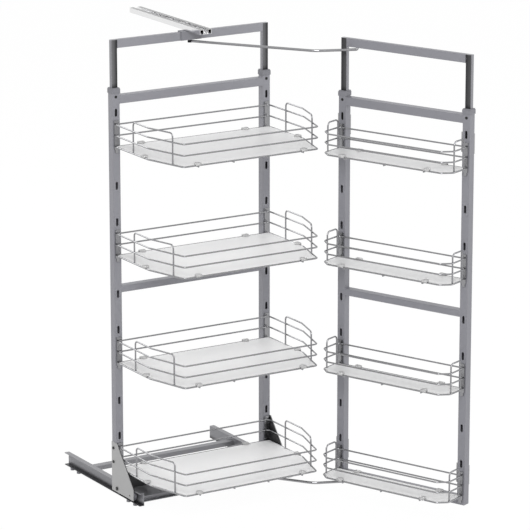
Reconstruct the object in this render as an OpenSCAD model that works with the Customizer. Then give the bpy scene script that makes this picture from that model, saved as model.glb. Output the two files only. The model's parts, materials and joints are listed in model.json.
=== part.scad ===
// Pull out larder unit for a 600 mm wide tall cabinet.
// An inner frame with four wire baskets runs on a floor base and a top guide rail.
// A second frame with four shallow baskets rides on the cabinet door.
// Two bent rods join the frames, so that opening the door pulls the inner frame out.
// The origin is the centre of the base on the cabinet floor: +X is right, +Y is the cabinet's back.
// The unit is drawn open, with the door frame swung out.

/* [Inner frame] */
// Distance between the centres of the two inner uprights
inner_spacing = 525; // [500:1:525]
// Front face of the inner uprights, measured from the base centre
inner_front = -101; // [-106:1:-96]
// Underside of the inner uprights
inner_bottom = 51.5; // [51:0.5:54]
// Top of the inner uprights, under the collars
inner_top = 1261; // [1250:1:1275]
// Side of the square upright tube
tube = 25; // [25:1:27]
// Wall of every square tube
tube_wall = 2; // [1.6:0.1:2.2]
// Height of the middle crossbars
mid_bar_height = 20; // [16:1:25]
// Underside of the inner middle crossbar
inner_mid_bar = 646.5; // [636:1:656]
// Gap between an upright's top and its upper crossbar
upper_bar_gap = 7; // [4:1:12]

/* [Slots] */
// Centre of the lowest slot of the inner uprights
slot_start = 82.5; // [80:0.5:85]
// Pitch of the slots
slot_pitch = 112; // [110:1:112]
// Number of slots in each upright
slot_count = 11; // [10:1:11]
// Width of a slot
slot_width = 8; // [7:0.5:9]
// Height of a slot
slot_height = 24; // [22:1:26]

/* [Door frame] */
// Distance between the centres of the two door uprights
door_spacing = 440; // [400:1:440]
// How much lower the door frame's slots, top and head are than the inner frame's
door_drop = 16.5; // [15:0.5:18]
// Underside of the door uprights
door_bottom = 49.5; // [49:0.5:50]
// Underside of the door frame's middle crossbar
door_mid_bar = 633; // [625:1:640]
// X of the upright line that the door turns about
hinge_x = 326; // [322:1:330]
// Y of the upright line that the door turns about
hinge_y = -314.3; // [-316:0.1:-312]
// From the hinge line to the nearest door upright's centre, along the door
hinge_to_upright = 105; // [103:1:107]
// From the hinge line to the door frame's inner face, across the door
hinge_to_face = 40; // [38:1:42]
// Angle at which the door frame is drawn, from closed
door_angle = 112.5; // [110:0.5:113]

/* [Head frames] */
// Width of a telescopic post
post_width = 20; // [18:0.5:20]
// Depth of a telescopic post, also the head bar's depth
post_depth = 15; // [14:0.5:15]
// Length of a telescopic post
post_length = 345; // [320:5:350]
// Top of the inner head frame
head_top = 1422; // [1420:0.5:1423]
// Top of the door's head frame
door_head_top = 1423; // [1421:0.5:1424]
// Height of a head bar
head_bar_height = 25; // [22:1:25]
// Side of a collar
collar_side = 28.5; // [28:0.5:30]
// Height of a collar above its upright
collar_height = 16.5; // [14:0.5:18]

/* [Baskets] */
// Radius of the basket wire
wire_r = 2.4; // [2:0.1:2.4]
// Slots between two baskets
basket_step = 3; // [3:1:3]
// How far an inner basket's sides stand outside the uprights' centres
inner_overhang = 7; // [4:0.5:7]
// How much further in an inner basket's side is at its front
inner_taper = 38.5; // [34:0.5:44]
// Depth at which an inner basket's sides bend inwards
inner_bend_depth = 205; // [195:1:215]
// Full depth of an inner basket, to the wire's centre
inner_depth = 346; // [335:1:347]
// Height between an inner basket's rings
inner_ring_gap = 34; // [30:1:36]
// How far a door basket's sides stand outside the uprights' centres
door_overhang = 8; // [5:0.5:10]
// How much further in a door basket's side is at its front
door_taper = 28; // [24:1:36]
// Depth at which a door basket's sides are chamfered
door_bend_depth = 78; // [70:1:80]
// Full depth of a door basket, to the wire's centre
door_depth = 103; // [95:1:103]
// Height between a door basket's rings
door_ring_gap = 32; // [28:1:34]
// Height of a raised side guard above the top ring
guard_rise = 26; // [20:1:30]
// Thickness of a tray plate
tray_thickness = 4; // [3:0.5:5]

/* [Base] */
// Length of a base rail
rail_length = 480; // [470:1:490]
// Height of a base rail's channel
rail_height = 40; // [38:0.5:41]
// Depth of a base rail's channel
rail_depth = 16; // [16:0.5:17]
// Sheet thickness of a base rail
rail_sheet = 2; // [1.5:0.1:2.2]
// Height of the bushes under the rails
foot_height = 8; // [7.5:0.5:8.5]
// Radius of a fixing hole in the base
fixing_r = 2.5; // [2:0.1:3]
// From a rail's end to its outer fixing hole
fixing_end = 39; // [35:1:45]
// Distance between the two fixing holes of a pair
fixing_pair = 41; // [38:1:45]
// Height of the front cross member
front_cross_height = 19; // [15:1:20]
// How far the sheet behind the front cross member reaches back
front_sheet_depth = 80; // [60:5:85]
// Height of the rear cross member
rear_cross_height = 14; // [12:1:14]

/* [Top guide rail] */
// Length of the top guide rail
guide_length = 428; // [410:1:440]
// Distance between the rail's two channels
channel_spacing = 27; // [26:0.5:29]
// Outer width of a channel
channel_width = 13; // [12.5:0.1:14]
// Height of a channel
channel_height = 15; // [14.5:0.5:16]
// Sheet thickness of the rail
guide_sheet = 1.6; // [1.2:0.1:1.8]

/* [Rods] */
// Radius of the two linking rods
rod_r = 4; // [3:0.1:4]
// Gap between a rod and the bars above it
rod_gap = 1.5; // [1:0.1:2]
// From the door upright's centre to the rod's pivot, along the door
rod_pivot_along = 45; // [42:1:48]

/* [Hidden] */
$fn = 48;

door_top = inner_top - door_drop + 2.5;
door_slot_start = slot_start - door_drop;
inner_half_rear = inner_spacing / 2 + inner_overhang;
inner_half_front = inner_half_rear - inner_taper;
door_half_rear = door_spacing / 2 + door_overhang;
door_half_front = door_half_rear - door_taper;
top_rod_height = min(head_top, door_head_top) - head_bar_height - rod_gap - rod_r;
bottom_rod_height = min(inner_bottom, door_bottom) - rod_gap - rod_r;
outer_fixings = rail_length - 2 * fixing_end;
inner_fixings = outer_fixings - 2 * fixing_pair;
ring_bend_r = 12;
side_bend_r = 40;
door_corner_r = 16;
strip_thickness = 3;
strip_width = 16;
weld_overlap = 0.6;
bend_swell = 0.03;
bend_reach = 0.4;
inner_ring_rise = 10;
door_ring_rise = 14;
tray_gap = wire_r + 2;

plate_thickness = 2;
plate_inner_x = inner_spacing / 2 + tube / 2;
liner_thickness = 2.5;
rail_web_x = plate_inner_x - 2 - rail_depth;
rail_top = foot_height + rail_height;
roller_r = rail_height / 2 - rail_sheet - 0.5;
roller_width = 10;
roller_x = plate_inner_x - 3.5 - roller_width;
roller_z = foot_height + rail_height / 2;
axle_r = 3;
pin_clearance = 0.05;
roller_places = [inner_front - 85, inner_front - 6];
fixing_x = rail_web_x + rail_depth / 2 + 1;

plate_back = inner_front + tube + 0.8;
plate_front = inner_front - 107;
plate_low = 16.5;
plate_knee = rail_top + 3.5;
plate_high = 172.5;
plate_shoulder = inner_front - 5;

post_back_gap = (tube - post_depth) / 2;
post_bottom_gap = 0.3;
guide_low = head_top + 5.5;
rod_reach = inner_front + tube / 2;
rod_pivot_across = -tube / 2;
rod_bend_point = [hinge_x - 86.5, hinge_y - 101.5];
rod_bend_r = 60;
rod_stub_bend = 4.8;

steel = [0.56, 0.56, 0.59];
zinc = [0.66, 0.66, 0.65];
chrome = [0.62, 0.62, 0.62];
polished = [0.45, 0.45, 0.47];
frosted = [0.88, 0.88, 0.88];
clear = [0.90, 0.92, 0.93];
black = [0.06, 0.06, 0.07];
grey_plastic = [0.42, 0.42, 0.45];

function unit(v) = v / norm(v);
function turn(p, q, s) = acos(unit(q - p) * unit(s - q));
function corner_cut(p, q, s, bend) = bend * tan(turn(p, q, s) / 2);

// ---- shared shapes ----

// Places its children in a frame with the given origin and axes.
module in_axes(o, x, y, z)
    multmatrix([
        [x[0], y[0], z[0], o[0]],
        [x[1], y[1], z[1], o[1]],
        [x[2], y[2], z[2], o[2]],
        [0, 0, 0, 1]
    ])
        children();

// A straight round bar from p to q.
module bar_between(p, q, r) {
    along = unit(q - p);
    helper = abs(along[2]) > 0.9 ? [1, 0, 0] : [0, 0, 1];
    side = unit(cross(helper, along));
    in_axes(p, side, cross(along, side), along)
        cylinder(h = norm(q - p), r = r);
}

// The round bend at q of a bar that comes from p and goes on to s. It is a hair thicker than the
// straight bars, whose ends reach a little way into it, so that each joint is a clean step.
module bar_bend(p, q, s, bend, r) {
    before = unit(q - p);
    after = unit(s - q);
    angle = turn(p, q, s);
    inward = unit(after - (before * after) * before);
    centre = q - corner_cut(p, q, s, bend) * before + bend * inward;
    in_axes(centre, -inward, before, cross(-inward, before))
        rotate_extrude(angle = angle)
            translate([bend, 0])
                circle(r = r + bend_swell);
}

// A bent wire through the points, with a bend radius at each inner point.
module open_wire(points, bends, r) {
    last = len(points) - 1;
    for (i = [0:last - 1]) {
        p = points[i];
        q = points[i + 1];
        start_cut = i == 0 ? 0 : corner_cut(points[i - 1], p, q, bends[i]) - bend_reach;
        end_cut = i == last - 1 ? 0 : corner_cut(p, q, points[i + 2], bends[i + 1]) - bend_reach;
        bar_between(p + start_cut * unit(q - p), q - end_cut * unit(q - p), r);
    }
    for (i = [1:last - 1])
        bar_bend(points[i - 1], points[i], points[i + 1], bends[i], r);
}

// A closed wire ring through the points, with a bend radius at each point.
module closed_wire(points, bends, r) {
    n = len(points);
    for (i = [0:n - 1]) {
        o = points[(i + n - 1) % n];
        p = points[i];
        q = points[(i + 1) % n];
        s = points[(i + 2) % n];
        start_cut = corner_cut(o, p, q, bends[i]) - bend_reach;
        end_cut = corner_cut(p, q, s, bends[(i + 1) % n]) - bend_reach;
        bar_between(p + start_cut * unit(q - p), q - end_cut * unit(q - p), r);
        bar_bend(o, p, q, bends[i], r);
    }
}

// A hollow box section that runs along X, centred on X = 0.
module cross_tube(length, depth, height, wall)
    translate([-length / 2, 0, 0])
        difference() {
            cube([length, depth, height]);
            translate([-1, wall, wall])
                cube([length + 2, depth - 2 * wall, height - 2 * wall]);
        }

// A slot with round ends, cut through a tube's front wall.
module wall_slot(z)
    translate([0, -1, z]) {
        straight = slot_height - slot_width;
        translate([-slot_width / 2, 0, -straight / 2])
            cube([slot_width, tube_wall + 2, straight]);
        for (side = [-1, 1])
            translate([0, 0, side * straight / 2])
                rotate([-90, 0, 0])
                    cylinder(h = tube_wall + 2, r = slot_width / 2);
    }

// One slotted upright: front face at Y = 0, centred on X = 0.
module upright(bottom, top, first_slot)
    difference() {
        translate([-tube / 2, 0, bottom])
            cube([tube, tube, top - bottom]);
        translate([-tube / 2 + tube_wall, tube_wall, bottom - 1])
            cube([tube - 2 * tube_wall, tube - 2 * tube_wall, top - bottom + 2]);
        for (i = [0:slot_count - 1])
            wall_slot(first_slot + i * slot_pitch);
        translate([0, -1, top - clamp_drop])
            rotate([-90, 0, 0])
                cylinder(h = tube_wall + 2, r = clamp_r + pin_clearance);
    }

clamp_drop = 10.5;
clamp_r = 3;
clamp_head_depth = 2;

// The socket screw that clamps a post in its upright.
module clamp_screw(top)
    translate([0, 0, top - clamp_drop])
        rotate([-90, 0, 0])
            difference() {
                translate([0, 0, 0.3])
                    cylinder(h = post_back_gap - 0.5, r = clamp_r);
                translate([0, 0, -1])
                    cylinder(h = clamp_head_depth + 1, r = clamp_r * 0.55, $fn = 6);
            }

// The collar on an upright's top, with two shims that reach down beside the post.
module collar(top) {
    hole_w = post_width + 0.4;
    hole_d = post_depth + 0.4;
    step = 3;
    shim_length = 20;
    difference() {
        union() {
            translate([-collar_side / 2, tube / 2 - collar_side / 2, top])
                cube([collar_side, collar_side, collar_height - step]);
            translate([-collar_side / 2 + 1.2, tube / 2 - collar_side / 2 + 1.2, top])
                cube([collar_side - 2.4, collar_side - 2.4, collar_height]);
        }
        translate([-hole_w / 2, tube / 2 - hole_d / 2, top - 1])
            cube([hole_w, hole_d, collar_height + 2]);
    }
    inner = tube - 2 * tube_wall - 0.4;
    difference() {
        translate([-hole_w / 2, tube / 2 - inner / 2, top - shim_length])
            cube([hole_w, inner, shim_length]);
        translate([-hole_w, tube / 2 - hole_d / 2, top - shim_length - 1])
            cube([2 * hole_w, hole_d, shim_length + 2]);
        translate([0, -1, top - clamp_drop])
            rotate([-90, 0, 0])
                cylinder(h = tube / 2, r = clamp_r + pin_clearance);
    }
}

// One telescopic post, hollow, in the middle of its upright.
module post(top)
    difference() {
        translate([-post_width / 2, post_back_gap, top - post_length])
            cube([post_width, post_depth, post_length]);
        translate([-post_width / 2 + 1.5, post_back_gap + 1.5, top - post_length - 1])
            cube([post_width - 3, post_depth - 3, post_length - 1]);
    }

// ---- baskets ----
// A basket's own frame: X = 0 at its middle, Y = 0 at the uprights' faces, front towards -Y,
// Z = 0 at the slot that it hooks into.

// Outline corners of a ring, from the rear left corner round the front to the rear right one.
function ring_points(half_rear, half_front, bend_depth, depth, rear, z) = [
    [-half_rear, -rear, z],
    [-half_rear, -bend_depth, z],
    [-half_front, -depth, z],
    [half_front, -depth, z],
    [half_rear, -bend_depth, z],
    [half_rear, -rear, z]
];

// The plan point at a depth on a basket's right side, moved inwards by inset.
function side_x(half_rear, half_front, bend_depth, depth, y) =
    y <= bend_depth
        ? half_rear
        : half_rear - (half_rear - half_front) * (y - bend_depth) / (depth - bend_depth);

// The flat strip that joins the rings to an upright, with a tongue that hooks into a slot.
module hook_strip(x, top) {
    tongue_w = 6;
    tongue_low = slot_height / 2 - 1.5;
    translate([x - strip_width / 2, -strip_thickness, 0])
        cube([strip_width, strip_thickness, top]);
    translate([x - strip_width / 2 + 3, -strip_thickness, -slot_height / 2 + 2])
        cube([strip_width - 6, strip_thickness, slot_height / 2]);
    translate([x - tongue_w / 2, -strip_thickness, -tongue_low])
        cube([tongue_w, strip_thickness + tube_wall + 1.8, tongue_low + 6]);
    translate([x - tongue_w / 2, tube_wall + 0.3, -tongue_low - 7])
        cube([tongue_w, 1.5, tongue_low + 12]);
}

// A raised guard on one side: it stands inside the rings and follows their line.
module side_guard(half_rear, half_front, bend_depth, depth, legs, low, high, bend_at) {
    inset = 2 * wire_r - weld_overlap;
    rear_x = side_x(half_rear, half_front, bend_depth, depth, legs[0]) - inset;
    front_x = side_x(half_rear, half_front, bend_depth, depth, legs[1]) - inset;
    mid_x = half_rear - inset;
    if (bend_at)
        open_wire([
            [rear_x, -legs[0], low],
            [rear_x, -legs[0], high],
            [mid_x, -bend_depth + 2, high],
            [front_x, -legs[1], high],
            [front_x, -legs[1], low]
        ], [0, ring_bend_r, side_bend_r, ring_bend_r, 0], wire_r);
    else
        open_wire([
            [rear_x, -legs[0], low],
            [rear_x, -legs[0], high],
            [front_x, -legs[1], high],
            [front_x, -legs[1], low]
        ], [0, ring_bend_r, ring_bend_r, 0], wire_r);
}

module basket_wires(half_rear, half_front, bend_depth, depth, ring_rise, ring_gap, spacing,
                    bends, legs, bend_at, cross_places) {
    rear = rear_wire_y;
    top_z = ring_rise + 2 * ring_gap;
    under_z = ring_rise - 2 * wire_r + weld_overlap;
    for (k = [0:2])
        closed_wire(
            ring_points(half_rear, half_front, bend_depth, depth, rear, ring_rise + k * ring_gap),
            bends, wire_r);
    for (side = [0, 1])
        mirror([side, 0, 0]) {
            hook_strip(spacing / 2, top_z + 11);
            side_guard(half_rear, half_front, bend_depth, depth, legs,
                       ring_rise - wire_r + 0.4, top_z + guard_rise, bend_at);
        }
    for (x = cross_places)
        bar_between([x, -rear, under_z], [x, -depth, under_z], wire_r);
}

// The tray plate that lies on the cross wires, inside the bottom ring.
module tray(half_rear, half_front, bend_depth, depth, ring_rise, legs) {
    rear = strip_thickness + wire_r + tray_gap;
    low = ring_rise - wire_r + weld_overlap;
    leg_notch = 2 * wire_r + 1.4;
    difference() {
        translate([0, 0, low])
            linear_extrude(tray_thickness)
                polygon([
                    [-half_rear + tray_gap, -rear],
                    [-half_rear + tray_gap, -bend_depth],
                    [-half_front + tray_gap, -depth + tray_gap],
                    [half_front - tray_gap, -depth + tray_gap],
                    [half_rear - tray_gap, -bend_depth],
                    [half_rear - tray_gap, -rear]
                ]);
        for (leg = legs)
            for (side = [0, 1])
                mirror([side, 0, 0])
                    translate([side_x(half_rear, half_front, bend_depth, depth, leg) - leg_notch - 2,
                               -leg - leg_notch / 2, low - 1])
                        cube([leg_notch + 4, leg_notch, tray_thickness + 2]);
    }
}

// A clear clip that holds the tray to a ring: it lies on both, with a round nose over the tray and
// a lip outside the wire. The wire's centre is at Y = 0, and the tray is towards +Y.
module clip(x, y, turn_by, ring_rise) {
    half_width = 10;
    reach = 4;
    height = 5;
    lip = 1.5;
    lip_drop = 3;
    outer = -wire_r - 0.2 - lip;
    translate([x, y, ring_rise + wire_r])
        rotate([0, 0, turn_by]) {
            translate([-half_width, outer, 0])
                cube([2 * half_width, reach - outer, height]);
            translate([0, reach, 0])
                cylinder(h = height, r = half_width);
            translate([-half_width, outer, -lip_drop])
                cube([2 * half_width, lip, lip_drop + 1]);
        }
}

rear_wire_y = strip_thickness + wire_r - 0.2;

// ---- inner baskets ----

inner_bends = [ring_bend_r, side_bend_r, ring_bend_r, ring_bend_r, side_bend_r, ring_bend_r];
inner_legs = [109, 298];
inner_cross_pitch = 120;
inner_clip_x = 182;
side_clip_y = 177;

module inner_basket_place(i)
    translate([0, inner_front, slot_start + (i * basket_step) * slot_pitch])
        children();

module inner_basket_wires(i)
    inner_basket_place(i)
        basket_wires(inner_half_rear, inner_half_front, inner_bend_depth, inner_depth,
                     inner_ring_rise, inner_ring_gap, inner_spacing, inner_bends, inner_legs,
                     true, [for (k = [-1.5:1:1.5]) k * inner_cross_pitch]);

module inner_tray(i)
    inner_basket_place(i)
        tray(inner_half_rear, inner_half_front, inner_bend_depth, inner_depth, inner_ring_rise,
             inner_legs);

module basket_clips()
    color(clear)
        for (i = [0:3])
            inner_basket_place(i) {
                for (x = [-inner_clip_x, inner_clip_x]) {
                    clip(x, -inner_depth, 0, inner_ring_rise);
                    clip(x, -rear_wire_y, 180, inner_ring_rise);
                }
                clip(-inner_half_rear, -side_clip_y, -90, inner_ring_rise);
                clip(inner_half_rear, -side_clip_y, 90, inner_ring_rise);
            }

// ---- door frame placing ----
// The door frame's own frame is the closed door's: X runs to the hinge side, inner face at Y = 0.

door_middle = -(hinge_to_upright + door_spacing / 2);

module on_door()
    translate([hinge_x, hinge_y, 0])
        rotate([0, 0, door_angle])
            translate([door_middle, hinge_to_face, 0])
                children();

// On the closed door the baskets face the back of the cabinet.
module door_basket_place(i)
    on_door()
        translate([0, 0, door_slot_start + (i * basket_step) * slot_pitch])
            rotate([0, 0, 180])
                children();

// ---- base, fixed to the cabinet ----

// The left rail: a channel that opens outwards, with a fixing hole over each bush.
module base_rail()
    difference() {
        translate([-rail_web_x - rail_depth, -rail_length / 2, foot_height])
            cube([rail_depth, rail_length, rail_height]);
        translate([-rail_web_x - rail_depth - 1, -rail_length / 2 - 1, foot_height + rail_sheet])
            cube([rail_depth + 1 - rail_sheet, rail_length + 2, rail_height - 2 * rail_sheet]);
        for (y = foot_places())
            translate([-fixing_x, y, foot_height - 1])
                cylinder(h = rail_sheet + 2, r = fixing_r);
    }

function foot_places() =
    [-outer_fixings / 2, -inner_fixings / 2, inner_fixings / 2, outer_fixings / 2];

module base_rail_left() color(zinc) base_rail();
module base_rail_right() color(zinc) mirror([1, 0, 0]) base_rail();

front_cross_low = foot_height + 11.5;
front_cross_depth = 14;
rear_cross_top = bottom_rod_height - rod_r - 3;
rear_cross_y = rail_length / 2 - 147;
rear_cross_depth = 24;

// The front cross member: a channel that opens to the front, between the rails' webs. Its top
// flange runs on to the back as a sheet.
module base_cross_front() {
    width = 2 * rail_web_x;
    color(zinc)
        translate([-rail_web_x, -rail_length / 2, front_cross_low]) {
            difference() {
                cube([width, front_cross_depth, front_cross_height]);
                translate([-1, -1, rail_sheet])
                    cube([width + 2, front_cross_depth + 1 - rail_sheet,
                          front_cross_height - 2 * rail_sheet]);
            }
            translate([0, front_cross_depth - rail_sheet, front_cross_height - rail_sheet])
                cube([width, front_sheet_depth, rail_sheet]);
        }
}

module base_cross_rear()
    color(zinc)
        translate([0, rear_cross_y, rear_cross_top - rear_cross_height])
            cross_tube(2 * rail_web_x, rear_cross_depth, rear_cross_height, rail_sheet);

module base_feet()
    color(grey_plastic)
        for (x = [-fixing_x, fixing_x])
            for (y = foot_places())
                translate([x, y, 0])
                    difference() {
                        cylinder(h = foot_height, r = 7);
                        translate([0, 0, -1])
                            cylinder(h = foot_height + 2, r = fixing_r);
                    }

soft_close_front = -rail_length / 2 + front_cross_depth + front_sheet_depth + 4;

// The soft closing unit: a black housing on the inside of a rail's web.
module soft_close() {
    head = [14, 26, 32];
    body = [12, 90, 28];
    translate([-rail_web_x, soft_close_front, foot_height + 4])
        cube(head);
    translate([-rail_web_x, soft_close_front + head[1], foot_height + 4])
        cube(body);
}

module soft_close_left() color(black) soft_close();
module soft_close_right() color(black) mirror([1, 0, 0]) soft_close();

// ---- top guide rail, fixed to the cabinet's top ----

guide_front = inner_front - 83;
guide_fixings = 360;
guide_slot = 7.2;

module top_rail()
    color(zinc)
        translate([0, guide_front, guide_low])
            difference() {
                union() {
                    translate([-channel_spacing / 2, 0, 0])
                        cube([channel_spacing, guide_length, guide_sheet]);
                    for (x = [-channel_spacing / 2, channel_spacing / 2])
                        translate([x - channel_width / 2, 0, 0])
                            cube([channel_width, guide_length, channel_height]);
                }
                for (x = [-channel_spacing / 2, channel_spacing / 2]) {
                    translate([x - channel_width / 2 + guide_sheet, -1, guide_sheet])
                        cube([channel_width - 2 * guide_sheet, guide_length + 2,
                              channel_height - 2 * guide_sheet]);
                    translate([x - guide_slot / 2, -1, -1])
                        cube([guide_slot, guide_length + 2, guide_sheet + 2]);
                }
                for (side = [-1, 1])
                    translate([0, guide_length / 2 + side * guide_fixings / 2, -1])
                        cylinder(h = guide_sheet + 2, r = fixing_r);
            }

// ---- inner frame ----

module at_inner(side)
    translate([side * inner_spacing / 2, inner_front, 0])
        children();

module upright_left() color(steel) at_inner(-1) upright(inner_bottom, inner_top, slot_start);
module upright_right() color(steel) at_inner(1) upright(inner_bottom, inner_top, slot_start);

module crossbar_upper()
    color(steel)
        translate([0, inner_front, inner_top - upper_bar_gap - tube])
            cross_tube(inner_spacing - tube, tube, tube, tube_wall);

module crossbar_middle()
    color(steel)
        translate([0, inner_front, inner_mid_bar])
            cross_tube(inner_spacing - tube, tube, mid_bar_height, tube_wall);

module crossbar_lower()
    color(steel)
        translate([0, inner_front, inner_bottom])
            cross_tube(inner_spacing - tube, tube, tube, tube_wall);

// Outline of a side plate, as Y and Z.
plate_outline = [
    [plate_back, plate_low],
    [plate_back, plate_high],
    [plate_shoulder, plate_high],
    [plate_front, plate_knee],
    [plate_front, plate_low]
];
plate_screw_places = [[inner_front + 14, 109.5], [inner_front + 14, 153.5]];

// The left side plate: it carries the roller axles and is screwed to the upright.
module side_plate()
    difference() {
        translate([-plate_inner_x - plate_thickness, 0, 0])
            rotate([90, 0, 90])
                linear_extrude(plate_thickness)
                    polygon(plate_outline);
        for (y = roller_places)
            translate([-plate_inner_x - plate_thickness - 1, y, roller_z])
                rotate([0, 90, 0])
                    cylinder(h = plate_thickness + 2, r = axle_r + pin_clearance);
    }

module side_plate_left() color(zinc) side_plate();
module side_plate_right() color(zinc) mirror([1, 0, 0]) side_plate();

// The black carriage housing: a thin liner on the plate's inner face and a block over the rail.
module carriage() {
    low = rail_top + 2;
    inset = 0.8;
    run = (plate_high - plate_knee) / (plate_shoulder - plate_front);
    drop = inset * sqrt(1 + run * run);
    block_depth = 70;
    block_front = plate_front + 28;
    block_back = inner_front - 11;
    block_top = slot_start + inner_ring_rise - 4 * wire_r + weld_overlap;
    translate([-plate_inner_x, 0, 0])
        rotate([90, 0, 90])
            linear_extrude(liner_thickness)
                polygon([
                    [inner_front - 0.5, low],
                    [inner_front - 0.5, plate_high - inset],
                    [plate_shoulder, plate_high - drop],
                    [plate_front + (low - plate_knee + drop) / run, low]
                ]);
    translate([-plate_inner_x, block_front, low])
        cube([block_depth, block_back - block_front, block_top - low]);
}

module carriage_left() color(black) carriage();
module carriage_right() color(black) mirror([1, 0, 0]) carriage();

// The four roller axles. The rear ones have a head outside the plate, the front ones lie flush.
module roller_axles()
    color(polished)
        for (side = [0, 1])
            mirror([side, 0, 0])
                for (y = roller_places)
                    translate([-plate_inner_x - plate_thickness, y, roller_z])
                        rotate([0, 90, 0]) {
                            cylinder(h = plate_thickness + 3.5 + roller_width + 1, r = axle_r);
                            if (y == roller_places[1])
                                translate([0, 0, -2])
                                    cylinder(h = 2, r = 6);
                        }

module roller(side, y)
    translate([side > 0 ? roller_x : -roller_x - roller_width, y, roller_z])
        rotate([0, 90, 0])
            difference() {
                cylinder(h = roller_width, r = roller_r);
                translate([0, 0, -1])
                    cylinder(h = roller_width + 2, r = axle_r + pin_clearance);
                translate([0, 0, roller_width - 1.5])
                    difference() {
                        cylinder(h = 3, r = roller_r - 3);
                        translate([0, 0, -1])
                            cylinder(h = 5, r = axle_r + 3);
                    }
            }

module roller_front_left() color(grey_plastic) roller(-1, roller_places[0]);
module roller_rear_left() color(grey_plastic) roller(-1, roller_places[1]);
module roller_front_right() color(grey_plastic) roller(1, roller_places[0]);
module roller_rear_right() color(grey_plastic) roller(1, roller_places[1]);

// The clamp screws in the uprights and the heads of the side plates' screws.
module frame_screws()
    color(black) {
        for (side = [-1, 1])
            at_inner(side)
                clamp_screw(inner_top);
        for (side = [0, 1])
            mirror([side, 0, 0])
                for (place = plate_screw_places)
                    translate([-plate_inner_x - plate_thickness - 2, place[0], place[1]])
                        rotate([0, 90, 0])
                            difference() {
                                cylinder(h = 2, r = 4.5);
                                translate([0, 0, -1])
                                    cylinder(h = 2, r = 2, $fn = 6);
                            }
    }

module collars()
    color(grey_plastic)
        for (side = [-1, 1])
            at_inner(side)
                collar(inner_top);

module basket_wires_1() color(chrome) inner_basket_wires(0);
module basket_wires_2() color(chrome) inner_basket_wires(1);
module basket_wires_3() color(chrome) inner_basket_wires(2);
module basket_wires_4() color(chrome) inner_basket_wires(3);
module basket_tray_1() color(frosted) inner_tray(0);
module basket_tray_2() color(frosted) inner_tray(1);
module basket_tray_3() color(frosted) inner_tray(2);
module basket_tray_4() color(frosted) inner_tray(3);

// ---- inner head frame, telescopic ----

module head_post_left() color(polished) at_inner(-1) post(head_top);
module head_post_right() color(polished) at_inner(1) post(head_top);

module head_bar()
    color(steel)
        translate([0, inner_front + post_back_gap, head_top - head_bar_height])
            cross_tube(inner_spacing - post_width, post_depth, head_bar_height, 1.5);

guide_block_half = 35;
guide_skin = 3.5;
guide_peg_r = guide_slot / 2 - 0.8;
guide_peg_rise = channel_height - guide_sheet - 5;

// The guide block rides on the head bar, and its two pegs run in the top rail's channels.
module guide_block()
    color(grey_plastic)
        translate([0, inner_front + post_back_gap, head_top]) {
            difference() {
                translate([-guide_block_half, -guide_skin, -head_bar_height])
                    cube([2 * guide_block_half, post_depth + 2 * guide_skin,
                          head_bar_height + guide_skin]);
                translate([-guide_block_half - 1, 0, -head_bar_height - 1])
                    cube([2 * guide_block_half + 2, post_depth, head_bar_height + 1]);
            }
            for (x = [-channel_spacing / 2, channel_spacing / 2])
                translate([x, post_depth / 2, guide_skin])
                    cylinder(h = guide_low - head_top - guide_skin + guide_peg_rise,
                             r = guide_peg_r);
        }

// ---- door frame ----

module at_door(side)
    on_door()
        translate([side * door_spacing / 2, 0, 0])
            rotate([0, 0, 180])
                children();

module door_upright_hinge() color(steel) at_door(1) upright(door_bottom, door_top, door_slot_start);
module door_upright_free() color(steel) at_door(-1) upright(door_bottom, door_top, door_slot_start);

module door_bar(bottom, height, bore)
    on_door()
        rotate([0, 0, 180])
            translate([0, 0, bottom])
                difference() {
                    union() {
                        cross_tube(door_spacing - tube, tube, height, tube_wall);
                        if (bore)
                            translate([-door_pivot_x - 10, tube_wall, tube_wall])
                                cube([20, tube - 2 * tube_wall, height - 2 * tube_wall]);
                    }
                    if (bore)
                        translate([-door_pivot_x, tube / 2, -1])
                            cylinder(h = rod_socket + 1, r = rod_r + pin_clearance);
                }

door_pivot_x = door_spacing / 2 - rod_pivot_along;
rod_socket = 13;

module door_crossbar_upper() color(steel) door_bar(door_top - 2 - tube, tube, false);
module door_crossbar_middle() color(steel) door_bar(door_mid_bar, mid_bar_height, false);
module door_crossbar_lower() color(steel) door_bar(door_bottom, tube, true);

bracket_size = [45, 3, 60];
bracket_heights = [door_bottom + 60, door_top - 120];
bracket_hole_along = 22.5;
bracket_hole_gap = 32;

// Four plates behind the uprights, by which the frame is screwed to the cabinet's door.
module door_brackets()
    color(zinc)
        on_door()
            for (side = [-1, 1])
                for (z = bracket_heights)
                    translate([side * door_spacing / 2, -tube - bracket_size[1], z])
                        difference() {
                            translate([-tube / 2, 0, 0])
                                cube(bracket_size);
                            for (k = [-1, 1])
                                translate([bracket_hole_along, -1,
                                           bracket_size[2] / 2 + k * bracket_hole_gap / 2])
                                    rotate([-90, 0, 0])
                                        cylinder(h = bracket_size[1] + 2, r = fixing_r);
                        }

module door_screws()
    color(black)
        for (side = [-1, 1])
            at_door(side)
                clamp_screw(door_top);

module door_collars()
    color(grey_plastic)
        for (side = [-1, 1])
            at_door(side)
                collar(door_top);

door_bends = [ring_bend_r, door_corner_r, door_corner_r, door_corner_r, door_corner_r, ring_bend_r];
door_legs = [17, 69];
door_cross_pitch = 140;
door_clip_x = 150;

module door_wires(i)
    door_basket_place(i)
        basket_wires(door_half_rear, door_half_front, door_bend_depth, door_depth,
                     door_ring_rise, door_ring_gap, door_spacing, door_bends, door_legs,
                     false, [for (k = [-1:1]) k * door_cross_pitch]);

module door_tray(i)
    door_basket_place(i)
        tray(door_half_rear, door_half_front, door_bend_depth, door_depth, door_ring_rise,
             door_legs);

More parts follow.
